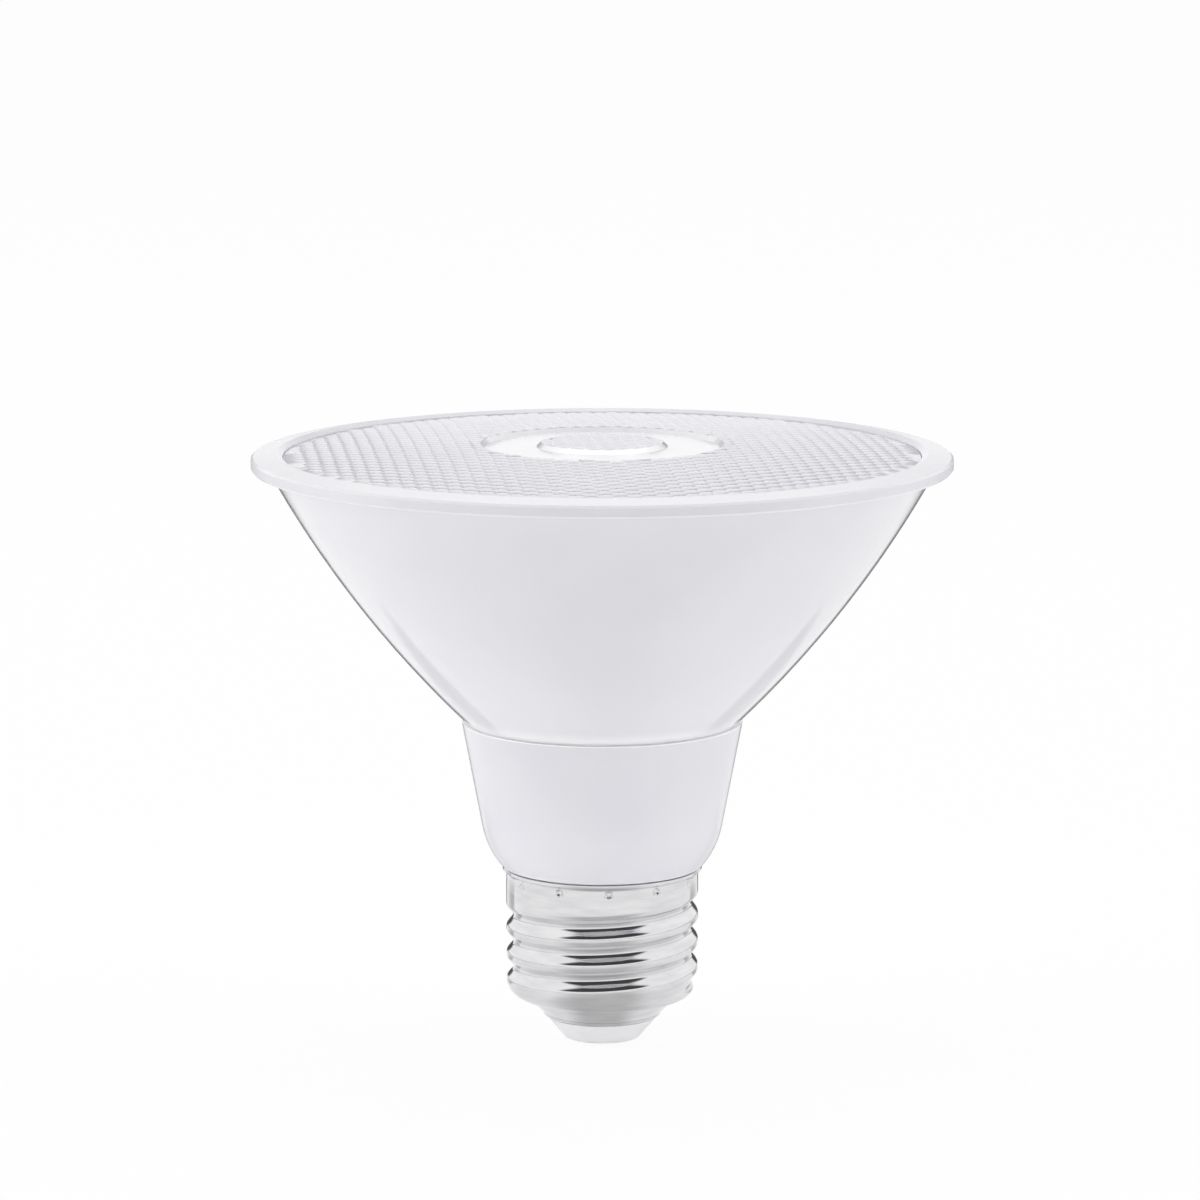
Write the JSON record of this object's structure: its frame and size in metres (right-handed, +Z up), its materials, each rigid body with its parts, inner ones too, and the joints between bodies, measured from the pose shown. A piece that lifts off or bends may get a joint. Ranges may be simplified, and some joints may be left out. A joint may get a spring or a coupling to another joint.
{
  "type": "par spotlight bulb",
  "caption": "Reflector-shaped spotlight bulb: rolled screw base, tapered collar, flared white housing, rim ring and a domed clear lens with a honeycomb of lenslets.",
  "frame": {"origin": "tip of the centre contact, on the lamp's axis", "axes": "+Z up the lamp's axis from the screw base to the lens, +X and +Y square to it"},
  "size_m": [0.0944, 0.0944, 0.0828],
  "materials": {
    "nickel_shell": "bright nickel plate on thin rolled sheet",
    "insulator_white": "smooth moulded white",
    "contact_metal": "bright plated button",
    "collar_white": "satin moulded white",
    "housing_white": "glossy white with a faint lavender tint",
    "ring_white": "glossy white",
    "lens_clear": "clear moulding with a honeycomb of small lenslets",
    "cup_metal": "drawn bare metal",
    "source_board_white": "white coating on a metal core",
    "source_base_white": "white ceramic",
    "phosphor_yellow": "matt yellow silicone",
    "screw_steel": "zinc plated",
    "board_green": "green glass-fibre laminate",
    "can_sleeve": "dark plastic sleeve on a drawn can",
    "ferrite_grey": "matt sintered",
    "winding_tape": "yellow tape over copper wire",
    "film_red": "dipped coating",
    "chip_black": "moulded black",
    "varistor_blue": "dipped coating",
    "fuse_grey": "lacquered body",
    "wire_black": "insulated wire",
    "wire_white": "insulated wire",
    "wire_red": "insulated wire"
  },
  "bodies": {
    "root": {"screw_shell": "nickel_shell", "base_insulator": "insulator_white", "centre_contact": "contact_metal", "neck_collar": "collar_white", "cone_housing": "housing_white", "trim_ring": "ring_white", "front_lens": "lens_clear", "heat_sink_cup": "cup_metal", "led_board": "source_board_white", "led_package": "source_base_white", "led_phosphor": "phosphor_yellow", "board_screws": "screw_steel", "driver_board": "board_green", "bulk_capacitor": "can_sleeve", "output_capacitor": "can_sleeve", "transformer_core": "ferrite_grey", "transformer_winding": "winding_tape", "film_capacitor": "film_red", "bridge_rectifier": "chip_black", "driver_chip": "chip_black", "varistor": "varistor_blue", "fuse_resistor": "fuse_grey", "live_lead": "wire_black", "neutral_lead": "wire_white", "led_lead_positive": "wire_red", "led_lead_negative": "wire_black"}
  },
  "joints": []
}
